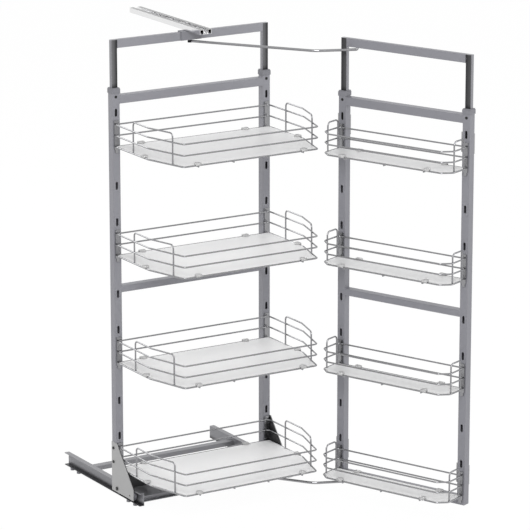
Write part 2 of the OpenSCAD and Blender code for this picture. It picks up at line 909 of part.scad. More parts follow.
module door_clips()
    color(clear)
        for (i = [0:3])
            door_basket_place(i)
                for (x = [-door_clip_x, door_clip_x]) {
                    clip(x, -door_depth, 0, door_ring_rise);
                    clip(x, -rear_wire_y, 180, door_ring_rise);
                }

module door_basket_wires_1() color(chrome) door_wires(0);
module door_basket_wires_2() color(chrome) door_wires(1);
module door_basket_wires_3() color(chrome) door_wires(2);
module door_basket_wires_4() color(chrome) door_wires(3);
module door_tray_1() color(frosted) door_tray(0);
module door_tray_2() color(frosted) door_tray(1);
module door_tray_3() color(frosted) door_tray(2);
module door_tray_4() color(frosted) door_tray(3);

// ---- door head frame, telescopic ----

module door_post_hinge() color(polished) at_door(1) post(door_head_top);
module door_post_free() color(polished) at_door(-1) post(door_head_top);

// The bar has a solid socket at the top rod's pivot.
module door_head_bar()
    color(steel)
        on_door()
            rotate([0, 0, 180])
                translate([0, post_back_gap, door_head_top - head_bar_height])
                    difference() {
                        union() {
                            cross_tube(door_spacing - post_width, post_depth, head_bar_height, 1.5);
                            translate([-door_pivot_x - 10, 1.5, 1.5])
                                cube([20, post_depth - 3, head_bar_height - 3]);
                        }
                        translate([-door_pivot_x, post_depth / 2, -1])
                            cylinder(h = rod_socket + 1, r = rod_r + pin_clearance);
                    }

// ---- rods ----

// The rod's pivot on the opened door, in the unit's frame.
function door_point(along, across) =
    [hinge_x + cos(door_angle) * along - sin(door_angle) * across,
     hinge_y + sin(door_angle) * along + cos(door_angle) * across];

rod_pivot = door_point(-hinge_to_upright - rod_pivot_along, hinge_to_face + rod_pivot_across);

// A linking rod: a short stub under the inner frame, a bend, and a pin that turns in the door's bar.
module link_rod(z, pin_top)
    open_wire([
        [0, rod_reach, z],
        [rod_bend_point[0], rod_bend_point[1], z],
        [rod_pivot[0], rod_pivot[1], z],
        [rod_pivot[0], rod_pivot[1], pin_top]
    ], [0, rod_bend_r, rod_stub_bend, 0], rod_r);

module rod_end(z, top)
    translate([0, rod_reach, z - rod_r])
        cylinder(h = top - z + rod_r, r = rod_r + 2.5);

module top_rod()
    color(chrome) {
        link_rod(top_rod_height, door_head_top - head_bar_height + rod_socket - 1);
        rod_end(top_rod_height, head_top - head_bar_height - 0.5);
    }

module bottom_rod()
    color(chrome) {
        link_rod(bottom_rod_height, door_bottom + rod_socket - 1);
        rod_end(bottom_rod_height, inner_bottom - 0.5);
    }

base_rail_left();
base_rail_right();
base_cross_front();
base_cross_rear();
base_feet();
soft_close_left();
soft_close_right();
top_rail();
upright_left();
upright_right();
crossbar_upper();
crossbar_middle();
crossbar_lower();
side_plate_left();
side_plate_right();
carriage_left();
carriage_right();
roller_axles();
frame_screws();
collars();
basket_wires_1();
basket_wires_2();
basket_wires_3();
basket_wires_4();
basket_tray_1();
basket_tray_2();
basket_tray_3();
basket_tray_4();
basket_clips();
head_post_left();
head_post_right();
head_bar();
guide_block();
door_upright_hinge();
door_upright_free();
door_crossbar_upper();
door_crossbar_middle();
door_crossbar_lower();
door_brackets();
door_screws();
door_collars();
door_basket_wires_1();
door_basket_wires_2();
door_basket_wires_3();
door_basket_wires_4();
door_tray_1();
door_tray_2();
door_tray_3();
door_tray_4();
door_clips();
door_post_hinge();
door_post_free();
door_head_bar();
top_rod();
bottom_rod();
roller_front_left();
roller_rear_left();
roller_front_right();
roller_rear_right();
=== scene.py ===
# %% [markdown]
# # A pull-out larder unit
# Two steel frames carry eight wire baskets. The inner one rolls on a floor base, and the outer one
# turns with the cabinet's door. The CAD model brings every piece in its real place, so this script
# only adds what the eye looks for: finishes, glide strips, weld beads and seams, screw heads,
# clips, and a quiet studio around it.

# %% Load the frame
import json
import math

import bmesh
import bpy
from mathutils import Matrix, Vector


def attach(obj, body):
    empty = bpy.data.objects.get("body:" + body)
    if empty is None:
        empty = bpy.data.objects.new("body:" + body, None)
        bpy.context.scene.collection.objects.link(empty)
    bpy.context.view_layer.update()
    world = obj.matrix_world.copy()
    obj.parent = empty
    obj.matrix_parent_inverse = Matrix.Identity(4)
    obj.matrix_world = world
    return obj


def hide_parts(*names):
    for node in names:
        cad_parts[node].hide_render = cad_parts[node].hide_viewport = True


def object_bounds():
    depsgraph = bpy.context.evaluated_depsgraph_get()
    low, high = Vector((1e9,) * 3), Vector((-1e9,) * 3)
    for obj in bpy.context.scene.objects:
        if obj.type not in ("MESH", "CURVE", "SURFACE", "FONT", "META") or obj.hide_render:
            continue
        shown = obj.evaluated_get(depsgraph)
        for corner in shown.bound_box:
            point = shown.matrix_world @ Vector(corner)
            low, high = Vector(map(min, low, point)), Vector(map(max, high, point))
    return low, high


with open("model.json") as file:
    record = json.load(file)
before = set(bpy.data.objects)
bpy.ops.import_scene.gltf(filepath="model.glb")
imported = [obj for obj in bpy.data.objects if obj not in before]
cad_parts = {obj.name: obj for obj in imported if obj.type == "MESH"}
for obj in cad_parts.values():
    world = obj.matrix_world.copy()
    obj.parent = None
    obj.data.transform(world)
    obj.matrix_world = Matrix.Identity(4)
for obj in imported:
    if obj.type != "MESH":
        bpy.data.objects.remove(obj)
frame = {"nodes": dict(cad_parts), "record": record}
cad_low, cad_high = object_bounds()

MM = 0.001
size = [round(high - low, 3) for low, high in zip(cad_low, cad_high)]
print("the unit is", size, "metres")

# %% [markdown]
# ## The camera
# The picture was taken from far off with a long lens, from above and from the left, so upright
# lines stay almost upright. A long lens far away does the same here, with no lens shift, because
# shift would push the unit out of any other view. Place and angles were fitted to the slots.

# %% Camera
CAMERA_PLACE = (-5.0302, -8.75367, 3.34656)
CAMERA_AZIMUTH = -31.43
CAMERA_TILT = 14.83
LENS_MM = 230.03
SENSOR_MM = 36.0
NEAREST = 0.5
FARTHEST = 200.0

scene = bpy.context.scene
camera_data = bpy.data.cameras.new("camera")
camera_data.lens = LENS_MM
camera_data.sensor_width = SENSOR_MM
camera_data.clip_start = NEAREST
camera_data.clip_end = FARTHEST
camera = bpy.data.objects.new("camera", camera_data)
camera.location = CAMERA_PLACE
camera.rotation_euler = (math.radians(90 - CAMERA_TILT), 0, math.radians(CAMERA_AZIMUTH))
scene.collection.objects.link(camera)
scene.camera = camera
scene.view_settings.view_transform = "Standard"
print("camera at", [round(x, 2) for x in camera.location])

# %% [markdown]
# ## Helpers for node trees
# The same few steps come back in every finish: a sum, a mix of two colours, and the place on the
# object. Each helper takes numbers, colours or the outputs of other nodes.

# %% Sums, mixes and places
# The sockets of a colour mix.
MIX_SHARE = 0
MIX_FIRST = 6
MIX_SECOND = 7
MIX_RESULT = 2


def feed(tree, socket, value):
    """Give a socket a number, a colour or the output of another node."""
    if isinstance(value, bpy.types.NodeSocket):
        tree.links.new(value, socket)
    elif isinstance(value, tuple):
        socket.default_value = (*value, 1.0)
    else:
        socket.default_value = value


def math_node(tree, operation, first, second=0.0):
    step = tree.nodes.new("ShaderNodeMath")
    step.operation = operation
    feed(tree, step.inputs[0], first)
    feed(tree, step.inputs[1], second)
    return step.outputs[0]


def colour_mix(tree, share, first, second, blend="MIX"):
    """The first colour where the share is 0, the second one where it is 1."""
    mix = tree.nodes.new("ShaderNodeMix")
    mix.data_type = "RGBA"
    mix.blend_type = blend
    feed(tree, mix.inputs[MIX_SHARE], share)
    feed(tree, mix.inputs[MIX_FIRST], first)
    feed(tree, mix.inputs[MIX_SECOND], second)
    return mix.outputs[MIX_RESULT]


def object_axes(tree):
    """X, Y and Z of the place on the object, in metres."""
    place = tree.nodes.new("ShaderNodeTexCoord")
    split = tree.nodes.new("ShaderNodeSeparateXYZ")
    tree.links.new(place.outputs["Object"], split.inputs[0])
    return split.outputs


# %% [markdown]
# ## The studio
# A white room: the camera, mirrors and clear plastic see plain white, while the light that falls on
# the unit comes from a large soft lamp on the left, a weaker one on the right, one at the back and
# a dim world.

# %% World
WHITE = (1.0, 1.0, 1.0)
WORLD_COLOUR = (0.97, 0.97, 0.975)
WORLD_STRENGTH = 0.55


def seen_rays(tree):
    """1 for rays that the camera, a mirror or clear plastic sees, and 0 for plain light."""
    rays = tree.nodes.new("ShaderNodeLightPath").outputs
    mirrored = math_node(tree, "MAXIMUM", rays["Is Camera Ray"], rays["Is Glossy Ray"])
    return math_node(tree, "MAXIMUM", mirrored, rays["Is Transmission Ray"])


def glow(tree, kind, colour, strength):
    light = tree.nodes.new(kind)
    feed(tree, light.inputs["Color"], colour)
    feed(tree, light.inputs["Strength"], strength)
    return light.outputs[0]


def show_by_ray(tree, share, plain, seen, output):
    """One shader for plain light, the other one for the share of rays that are seen."""
    mix = tree.nodes.new("ShaderNodeMixShader")
    feed(tree, mix.inputs[0], share)
    feed(tree, mix.inputs[1], plain)
    feed(tree, mix.inputs[2], seen)
    tree.links.new(mix.outputs[0], tree.nodes.new(output).inputs["Surface"])


world = bpy.data.worlds.new("white_room")
scene.world = world
world.use_nodes = True
tree = world.node_tree
tree.nodes.clear()
show_by_ray(tree, seen_rays(tree),
            glow(tree, "ShaderNodeBackground", WORLD_COLOUR, WORLD_STRENGTH),
            glow(tree, "ShaderNodeBackground", WHITE, 1.0), "ShaderNodeOutputWorld")
print("the world has", len(tree.nodes), "nodes")

# %% [markdown]
# The lamps are round and wide, so their shadows are soft. All look at the middle of the unit.

# %% Lamps
UNIT_MIDDLE = (0.05, -0.3, 0.75)
# For each lamp: its place, its width in metres and its power in watts.
LAMPS = {
    "key_lamp": ((-2.3, -3.7, 3.6), 2.2, 124),
    "fill_lamp": ((3.6, -3.0, 2.2), 2.6, 45),
    "back_lamp": ((-1.0, 3.6, 3.2), 2.4, 60),
}

for name, (place, width, watts) in LAMPS.items():
    lamp = bpy.data.lights.new(name, "AREA")
    lamp.shape = "DISK"
    lamp.size = width
    lamp.energy = watts
    holder = bpy.data.objects.new(name, lamp)
    holder.location = place
    aim = Vector(UNIT_MIDDLE) - Vector(place)
    holder.rotation_euler = aim.to_track_quat("-Z", "Y").to_euler()
    scene.collection.objects.link(holder)
print(len(LAMPS), "lamps hang round the unit")

# %% [markdown]
# The floor shows white too, but a part of its own shading stays, so it keeps a faint shadow.

# %% Floor
FLOOR_SIZE = 60
FLOOR_COLOUR = (0.93, 0.93, 0.93)
FLOOR_WHITE_SHARE = 0.97
FLOOR_GLOW = 1.01

bpy.ops.mesh.primitive_plane_add(size=FLOOR_SIZE)
floor = bpy.context.object
floor.name = "floor"
floor_finish = bpy.data.materials.new("pale_floor")
floor_finish.use_nodes = True
tree = floor_finish.node_tree
tree.nodes.clear()
shaded = tree.nodes.new("ShaderNodeBsdfDiffuse")
feed(tree, shaded.inputs["Color"], FLOOR_COLOUR)
show_by_ray(tree, math_node(tree, "MULTIPLY", seen_rays(tree), FLOOR_WHITE_SHARE),
            shaded.outputs[0], glow(tree, "ShaderNodeEmission", WHITE, FLOOR_GLOW),
            "ShaderNodeOutputMaterial")
floor.data.materials.append(floor_finish)
print("the floor is", FLOOR_SIZE, "metres wide")

# %% [markdown]
# ## A helper for finishes
# Every finish starts from one shader. This helper adds what breaks up a plain colour on a real
# surface: noise in the colour and in the roughness, a very low bump, and a soft rounding of the
# edges, which a tube or a sheet always has and a sharp CAD edge has not.

# %% Helpers for finishes
NOISE_DETAIL = 4.0
NOISE_LOW = 0.3
NOISE_HIGH = 0.7
EDGE_SAMPLES = 4


def new_finish(name, colour, roughness, metal=0.0, **sockets):
    finish = bpy.data.materials.new(name)
    finish.use_nodes = True
    finish.diffuse_color = (*colour, 1.0)
    shader = finish.node_tree.nodes["Principled BSDF"]
    shader.inputs["Base Color"].default_value = (*colour, 1.0)
    shader.inputs["Roughness"].default_value = roughness
    shader.inputs["Metallic"].default_value = metal
    for socket, value in sockets.items():
        shader.inputs[socket.replace("_", " ")].default_value = value
    return finish


def vary(finish, scale, colours, rough, bump=0.0, stretch=(1, 1, 1), edge_mm=0.0):
    """Noise over the surface, between two colours and two roughnesses, with a low bump."""
    tree = finish.node_tree
    shader = tree.nodes["Principled BSDF"]
    place = tree.nodes.new("ShaderNodeTexCoord")
    mapping = tree.nodes.new("ShaderNodeMapping")
    mapping.inputs["Scale"].default_value = stretch
    noise = tree.nodes.new("ShaderNodeTexNoise")
    noise.inputs["Scale"].default_value = scale
    noise.inputs["Detail"].default_value = NOISE_DETAIL
    tree.links.new(place.outputs["Object"], mapping.inputs["Vector"])
    tree.links.new(mapping.outputs["Vector"], noise.inputs["Vector"])
    tint = colour_mix(tree, noise.outputs["Fac"], *colours)
    tint.node.name = "tint"
    tree.links.new(tint, shader.inputs["Base Color"])
    spread = tree.nodes.new("ShaderNodeMapRange")
    spread.inputs["From Min"].default_value = NOISE_LOW
    spread.inputs["From Max"].default_value = NOISE_HIGH
    spread.inputs["To Min"].default_value = rough[0]
    spread.inputs["To Max"].default_value = rough[1]
    tree.links.new(noise.outputs["Fac"], spread.inputs["Value"])
    tree.links.new(spread.outputs["Result"], shader.inputs["Roughness"])
    if edge_mm:
        rounding = tree.nodes.new("ShaderNodeBevel")
        rounding.samples = EDGE_SAMPLES
        rounding.inputs["Radius"].default_value = edge_mm * MM
        tree.links.new(rounding.outputs["Normal"], shader.inputs["Normal"])
    if bump:
        relief = tree.nodes.new("ShaderNodeBump")
        relief.inputs["Strength"].default_value = 1.0
        relief.inputs["Distance"].default_value = bump * MM
        tree.links.new(noise.outputs["Fac"], relief.inputs["Height"])
        if edge_mm:
            tree.links.new(rounding.outputs["Normal"], relief.inputs["Normal"])
        tree.links.new(relief.outputs["Normal"], shader.inputs["Normal"])
    return finish


def lay_over(finish, colour, mask):
    """Put a colour over a finish where a mask says so. The mask is a node output from 0 to 1."""
    tree = finish.node_tree
    base = tree.nodes["Principled BSDF"].inputs["Base Color"]
    below = base.links[0].from_socket
    tree.links.new(colour_mix(tree, mask, below, colour), base)


# %% [markdown]
# ## Painted tubes and plated sheet
# The uprights and bars are square steel tube with a silver grey paint. It holds fine metal flakes,
# so it is a little metallic and its gloss changes from grain to grain. The rails are zinc-plated
# sheet, duller than the polished plates, and the top guide rail is the brightest of all.

# %% Paint and plate
silver_paint = vary(
    new_finish("silver_paint", (0.27, 0.27, 0.30), 0.42, 0.35),
    900.0, ((0.255, 0.255, 0.28), (0.285, 0.285, 0.31)), (0.36, 0.46), 0.02, edge_mm=1.4)
# The door frame gets a darker copy of the same silver paint: painted shade, for the door's faces
# that take less light.
door_paint_with_painted_shade = vary(
    new_finish("door_paint_with_painted_shade", (0.25, 0.25, 0.275), 0.42, 0.35),
    900.0, ((0.235, 0.235, 0.26), (0.265, 0.265, 0.29)), (0.36, 0.46), 0.02, edge_mm=1.4)
zinc_plate = vary(
    new_finish("zinc_plate", (0.40, 0.40, 0.40), 0.4, 0.5),
    240.0, ((0.35, 0.35, 0.355), (0.44, 0.44, 0.435)), (0.32, 0.46), 0.01, edge_mm=0.5)
rail_zinc = vary(
    new_finish("rail_zinc", (0.26, 0.26, 0.275), 0.36, 0.55),
    200.0, ((0.22, 0.22, 0.235), (0.30, 0.30, 0.315)), (0.3, 0.46), 0.01, (1, 0.12, 1), 0.6)
bright_rail = vary(
    new_finish("bright_rail", (0.80, 0.80, 0.81), 0.14, 1.0),
    120.0, ((0.76, 0.76, 0.77), (0.85, 0.85, 0.85)), (0.1, 0.2), 0.004, (1, 0.1, 1), 0.5)
print("paint and plate are mixed")

# %% [markdown]
# On the base rails, the lower flange sits in shade inside the channel, and painted shade darkens
# it. Below its height the plate turns dark, with a short fade.

# %% Darken the lower flange
LOWER_FLANGE = 0.0105
FLANGE_FADE = 0.009
# Painted shade: the dark colour that the lower flange gets.
ZINC_PAINTED_SHADE = (0.05, 0.05, 0.055)


def darken_low(finish, height, colour):
    tree = finish.node_tree
    fade = tree.nodes.new("ShaderNodeMapRange")
    fade.inputs["From Min"].default_value = height
    fade.inputs["From Max"].default_value = height + FLANGE_FADE
    tree.links.new(object_axes(tree)["Z"], fade.inputs["Value"])
    clean = tree.nodes["tint"].outputs[MIX_RESULT]
    tree.links.new(colour_mix(tree, fade.outputs["Result"], colour, clean),
                   tree.nodes["Principled BSDF"].inputs["Base Color"])


darken_low(rail_zinc, LOWER_FLANGE, ZINC_PAINTED_SHADE)
print("the rails have", len(rail_zinc.node_tree.nodes), "nodes in their finish")

# %% [markdown]
# The top guide rail is one bent sheet with two tracks. It is bright at the sides and between the
# tracks. Its top is painted greyer, a painted reflection of the dark surroundings above it, and the
# insides of the tracks are painted dark, as painted shade in the recesses. Masks, worked out from
# the place on the rail, tell these zones apart.

# %% Zones of the top guide rail
RAIL_TOP = 1442.5
RAIL_SHEET = 1.6
TRACK_SPACING = 27.0
TRACK_WIDTH = 13.0
TRACK_HEIGHT = 15.0
MASK_SPARE = 0.15
# Painted reflection: the grey laid over the rail's top.
TOP_PAINTED_REFLECTION = (0.19, 0.19, 0.195)
# Painted shade: the dark laid inside the tracks.
TRACK_PAINTED_SHADE = (0.015, 0.015, 0.016)


def distance(tree, value, middle_mm):
    """How far a coordinate is from a middle, on either side."""
    return math_node(tree, "ABSOLUTE", math_node(tree, "SUBTRACT", value, middle_mm * MM))


tree = bright_rail.node_tree
axes = object_axes(tree)
from_middle = math_node(tree, "ABSOLUTE", axes["X"])
on_top = math_node(tree, "GREATER_THAN", axes["Z"], (RAIL_TOP - MASK_SPARE) * MM)
in_width = math_node(tree, "LESS_THAN", distance(tree, from_middle, TRACK_SPACING / 2),
                     (TRACK_WIDTH / 2 - RAIL_SHEET + MASK_SPARE) * MM)
in_height = math_node(tree, "LESS_THAN", distance(tree, axes["Z"], RAIL_TOP - TRACK_HEIGHT / 2),
                      (TRACK_HEIGHT / 2 - RAIL_SHEET + MASK_SPARE) * MM)
lay_over(bright_rail, TOP_PAINTED_REFLECTION, on_top)
lay_over(bright_rail, TRACK_PAINTED_SHADE, math_node(tree, "MULTIPLY", in_width, in_height))
print("the top rail has", len(tree.nodes), "nodes in its finish")

# %% [markdown]
# ## Wire and rods
# The baskets and the two rods are bright chrome. Chrome has hardly a colour of its own: it shows
# the white room, with a dark line where it turns away from it. A rod's pivot sits in a black bush,
# so the rods' finish has a black zone round that one upright line.

# %% Chrome
ROD_PIVOT_Y = -88.5
BUSH_RADIUS = 7.5
BUSH_BLACK = (0.02, 0.02, 0.022)

bright_wire = vary(
    new_finish("bright_wire", (0.30, 0.30, 0.31), 0.2, 1.0),
    160.0, ((0.26, 0.26, 0.27), (0.34, 0.34, 0.35)), (0.16, 0.26))
rod_chrome = vary(
    new_finish("rod_chrome", (0.30, 0.30, 0.31), 0.2, 1.0),
    120.0, ((0.26, 0.26, 0.27), (0.34, 0.34, 0.35)), (0.16, 0.26), 0.004)
drawn_tube = vary(
    new_finish("drawn_tube", (0.27, 0.27, 0.29), 0.3, 0.7),
    60.0, ((0.24, 0.24, 0.26), (0.31, 0.31, 0.33)), (0.24, 0.36), 0.006, (30, 30, 1), 0.6)

tree = rod_chrome.node_tree
axes = object_axes(tree)
across = math_node(tree, "POWER", distance(tree, axes["X"], 0.0), 2.0)
along = math_node(tree, "POWER", distance(tree, axes["Y"], ROD_PIVOT_Y), 2.0)
in_bush = math_node(tree, "LESS_THAN", math_node(tree, "ADD", across, along),
                    (BUSH_RADIUS * MM) ** 2)
lay_over(rod_chrome, BUSH_BLACK, in_bush)
print("the rods have", len(tree.nodes), "nodes in their finish")

# %% [markdown]
# ## Plastics
# The trays are frosted plates, nearly white, with a fine grain. The clips are milky and let a
# little light through, the carriage housings are black, and the collars and rollers are grey. The
# screws are blackened steel.

# %% Plastics and small steel
frosted_plate = vary(
    new_finish("frosted_plate", (0.83, 0.83, 0.83), 0.4),
    420.0, ((0.815, 0.815, 0.815), (0.85, 0.85, 0.85)), (0.34, 0.48), 0.012, edge_mm=0.8)
clear_clip = vary(
    new_finish("clear_clip", (0.68, 0.68, 0.68), 0.5, Transmission_Weight=0.25, IOR=1.15),
    300.0, ((0.65, 0.65, 0.65), (0.71, 0.71, 0.71)), (0.45, 0.58))
black_housing = vary(
    new_finish("black_housing", (0.014, 0.014, 0.015), 0.5),
    700.0, ((0.011, 0.011, 0.012), (0.019, 0.019, 0.02)), (0.42, 0.6), 0.03, edge_mm=0.8)
dark_screw = vary(
    new_finish("dark_screw", (0.02, 0.02, 0.02), 0.35, 0.6),
    500.0, ((0.012, 0.012, 0.012), (0.03, 0.03, 0.03)), (0.28, 0.45), edge_mm=0.3)
grey_moulding = vary(
    new_finish("grey_moulding", (0.20, 0.20, 0.22), 0.5),
    800.0, ((0.185, 0.185, 0.205), (0.22, 0.22, 0.24)), (0.45, 0.58), 0.02, edge_mm=0.8)
print("plastics and screws are mixed")

# %% [markdown]
# ## Finish every CAD piece
# The record says which finish slot each piece has. A few pieces of one slot differ in the photo,
# so they get their own mix: the rails, the top guide rail, the blackened roller axles, the rods
# and the door frame's tubes.

# %% Put the finishes on
FINISH_OF_SLOT = {
    "silver_paint": silver_paint,
    "zinc": zinc_plate,
    "chrome_wire": bright_wire,
    "polished_steel": drawn_tube,
    "frosted_tray": frosted_plate,
    "clear_plastic": clear_clip,
    "black_plastic": black_housing,
    "black_steel": dark_screw,
    "grey_plastic": grey_moulding,
}
FINISH_OF_NODE = {
    "base_rail_left": rail_zinc,
    "base_rail_right": rail_zinc,
    "base_cross_front": rail_zinc,
    "base_cross_rear": rail_zinc,
    "top_rail": bright_rail,
    "roller_axles": dark_screw,
    "top_rod": rod_chrome,
    "bottom_rod": rod_chrome,
}
slot_of_node = {part["node"]: part["material_slot"] for part in frame["record"]["subparts"]}
for node, piece in frame["nodes"].items():
    finish = FINISH_OF_NODE.get(node, FINISH_OF_SLOT[slot_of_node[node]])
    # The door frame's tubes take the darker copy of the silver paint, which is painted shade.
    if node.startswith("door_") and finish is silver_paint:
        finish = door_paint_with_painted_shade
    piece.data.materials.clear()
    piece.data.materials.append(finish)
print(len(frame["nodes"]), "pieces have their finish")

# %% [markdown]
# ## Where things are
# New pieces need real places, so the CAD model's own sizes are repeated here, in millimetres.
# The inner frame stands square to the room. The door frame has its own axes: along the door from
# the hinge to the free side, and across it, towards the baskets.

# %% Places, in millimetres
INNER_FRONT = -101.0
INNER_SPACING = 525.0
INNER_TOP = 1261.0
DOOR_SPACING = 440.0
DOOR_TOP = 1247.0
DOOR_ANGLE = math.radians(112.5)
DOOR_HEADING = DOOR_ANGLE + math.pi
HINGE = (326.0, -314.3)
HINGE_TO_UPRIGHT = 105.0
HINGE_TO_FACE = 40.0
TUBE = 25.0
BASKET_HEIGHTS = [82.5 + 336.0 * level for level in range(4)]
DOOR_DROP = 16.5
WIRE_R = 2.4


def in_inner(x, y, z):
    """A point of the inner frame: x from its middle, y from the uprights' front faces."""
    return Vector((x, INNER_FRONT + y, z)) * MM


def in_door(x, y, z):
    """The same on the door frame, seen from its baskets: x from its middle, y behind its face."""
    along = -HINGE_TO_UPRIGHT - DOOR_SPACING / 2 - x
    across = HINGE_TO_FACE - y
    return Vector((
        HINGE[0] + math.cos(DOOR_ANGLE) * along - math.sin(DOOR_ANGLE) * across,
        HINGE[1] + math.sin(DOOR_ANGLE) * along + math.cos(DOOR_ANGLE) * across,
        z)) * MM


print("door frame's middle at", [round(v, 3) for v in in_door(0, 0, 0)])

# %% [markdown]
# ## Telescopic posts
# Each head frame stands on two posts that slide in the uprights. On the real unit a post is a
# drawn profile with a black glide strip in its front. The CAD post is a plain tube of the same
# size, so a mesh with the real section takes its place. Its outline is drawn once: a box, with the
# strip as a shallow arc between two narrow rims.

# %% The outline of a post
POST_HALF_WIDTH = 10.0
POST_FRONT = 5.0
POST_BACK = 20.0
POST_RIM = 6.5
STRIP_HALF_WIDTH = 8.8
STRIP_BULGE = 2.5
STRIP_STEPS = 12
STRIP_RADIUS = (STRIP_HALF_WIDTH ** 2 + STRIP_BULGE ** 2) / (2 * STRIP_BULGE)
STRIP_SWING = math.asin(STRIP_HALF_WIDTH / STRIP_RADIUS)


def strip_point(step):
    """A point of the rounded strip, from its left edge to its right edge."""
    angle = STRIP_SWING * (2 * step / STRIP_STEPS - 1)
    return (STRIP_RADIUS * math.sin(angle), POST_FRONT + STRIP_RADIUS * (1 - math.cos(angle)))


POST_OUTLINE = [(-POST_HALF_WIDTH, POST_RIM), (-STRIP_HALF_WIDTH, POST_RIM)]
POST_OUTLINE += [strip_point(step) for step in range(STRIP_STEPS + 1)]
POST_OUTLINE += [(STRIP_HALF_WIDTH, POST_RIM), (POST_HALF_WIDTH, POST_RIM),
                 (POST_HALF_WIDTH, POST_BACK), (-POST_HALF_WIDTH, POST_BACK)]
STRIP_WALLS = range(1, STRIP_STEPS + 3)
print("a post's outline has", len(POST_OUTLINE), "points")

# %% [markdown]
# The strip is painted brighter along one edge, a painted highlight where its rounded face would
# catch the light, and it is painted darker just above the collar, a painted shadow. Each point of
# the mesh carries a number for that, its painted light, and the strip's finish reads it.

# %% The glide strip's finish
STRIP_DARK = (0.007, 0.007, 0.008)
# Painted highlight: the bright end of the strip's tone.
STRIP_PAINTED_HIGHLIGHT = (0.20, 0.20, 0.205)

glide_strip = vary(
    new_finish("glide_strip", (0.085, 0.085, 0.09), 0.6, Specular_IOR_Level=0.08),
    90.0, ((0.80, 0.80, 0.82), (1.0, 1.0, 1.0)), (0.55, 0.7), 0.01, (14, 14, 1))
tree = glide_strip.node_tree
painted_light = tree.nodes.new("ShaderNodeAttribute")
painted_light.attribute_name = "painted_light"
strip_painted_light = colour_mix(tree, painted_light.outputs["Fac"], STRIP_DARK, STRIP_PAINTED_HIGHLIGHT)
grain = colour_mix(tree, 1.0, strip_painted_light, tree.nodes["tint"].outputs[MIX_RESULT], "MULTIPLY")
tree.links.new(grain, tree.nodes["Principled BSDF"].inputs["Base Color"])
print("the strip has", len(tree.nodes), "nodes in its finish")

# %% [markdown]
# The outline is pushed up along the post in rings. Only the sharp corners of the post are
# bevelled, and the strip's narrow faces are shaded smooth.

# %% Build the posts
POST_LENGTH = 345.0
POST_TOPS = {"inner": 1422.0, "door": 1423.0}
COLLAR_RISE = 16.5
COLLAR_TOPS = {"inner": INNER_TOP + COLLAR_RISE, "door": DOOR_TOP + COLLAR_RISE}
# Painted shadow: the strip is dark up to the collar's top and brightens over a short height above
# it.
PAINTED_SHADOW_HEIGHT = 14.0
PAINTED_SHADOW_SHARE = 0.25
# Painted highlight: how the strip's tone runs from its left edge to its right edge, for each frame.
PAINTED_LIGHT_ACROSS = {"inner": (1.0, 0.0), "door": (0.14, 0.42)}
SHARP_CORNER = 0.9
EDGE_BEVEL = 0.7
BEVEL_STEPS = 2


def bevel(work, edges):
    bmesh.ops.bevel(work, geom=edges, offset=EDGE_BEVEL * MM, segments=BEVEL_STEPS,
                    affect="EDGES")


def join_rings(work, rings):
    """Close a stack of rings with walls and two ends, and return the walls with their numbers."""
    walls = []
    for lower, upper in zip(rings, rings[1:]):
        for k in range(len(lower)):
            n = (k + 1) % len(lower)
            walls.append((k, work.faces.new((lower[k], lower[n], upper[n], upper[k]))))
    work.faces.new(rings[-1])
    work.faces.new(list(reversed(rings[0])))
    return walls


def build_post(name, middle_x, frame_name, to_world):
    top, collar = POST_TOPS[frame_name], COLLAR_TOPS[frame_name]
    at_left, at_right = PAINTED_LIGHT_ACROSS[frame_name]
    work = bmesh.new()
    painted_light_of = work.verts.layers.float.new("painted_light")
    rings = []
    for z, share in ((top - POST_LENGTH, PAINTED_SHADOW_SHARE), (collar, PAINTED_SHADOW_SHARE),
                     (collar + PAINTED_SHADOW_HEIGHT, 1.0), (top, 1.0)):
        ring = []
        for x, y in POST_OUTLINE:
            point = work.verts.new(to_world(middle_x + x, y, z))
            across = x / (2 * POST_HALF_WIDTH) + 0.5
            point[painted_light_of] = share * (at_left + (at_right - at_left) * across)
            ring.append(point)
        rings.append(ring)
    for k, wall in join_rings(work, rings):
        if k in STRIP_WALLS:
            wall.material_index = 1
            wall.smooth = True
    bmesh.ops.recalc_face_normals(work, faces=work.faces)
    bevel(work, [e for e in work.edges
                 if abs(e.verts[0].co.z - e.verts[1].co.z) > 1 * MM
                 and e.calc_face_angle(0.0) > SHARP_CORNER
                 and not any(f.smooth for f in e.link_faces)])
    bmesh.ops.recalc_face_normals(work, faces=work.faces)
    mesh = bpy.data.meshes.new(name)
    work.to_mesh(mesh)
    work.free()
    mesh.materials.append(drawn_tube)
    mesh.materials.append(glide_strip)
    post = bpy.data.objects.new(name, mesh)
    scene.collection.objects.link(post)
    return post


for name, node, body, side, frame_name in (
    ("inner_post_left", "head_post_left", "inner_head", -1, "inner"),
    ("inner_post_right", "head_post_right", "inner_head", 1, "inner"),
    ("door_post_at_hinge", "door_post_hinge", "door_head", -1, "door"),
    ("door_post_at_free_side", "door_post_free", "door_head", 1, "door"),
):
    spacing = INNER_SPACING if frame_name == "inner" else DOOR_SPACING
    to_world = in_inner if frame_name == "inner" else in_door
    post = build_post(name, side * spacing / 2, frame_name, to_world)
    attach(post, body)
    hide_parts(node)
    print(name, "has", len(post.data.polygons), "faces")

# %% [markdown]
# ## Small things that repeat
# Weld beads, seams, screw heads and tray clips come back again and again, which is work for
# Geometry Nodes. One tree puts any small shape on a set of points: a turn and a size come from each
# point, a little chance changes the size, and the tree ends in real geometry with its finish. A
# switch makes it walk along lines at a fixed pitch first, which is how a seam is laid.

# %% The tree that repeats a shape
TREE_INPUTS = {
    "Places": "Geometry",
    "Shape": "Object",
    "Pitch": "Float",
    "Size": "Float",
    "Chance": "Float",
    "Seed": "Int",
    "Finish": "Material",
}


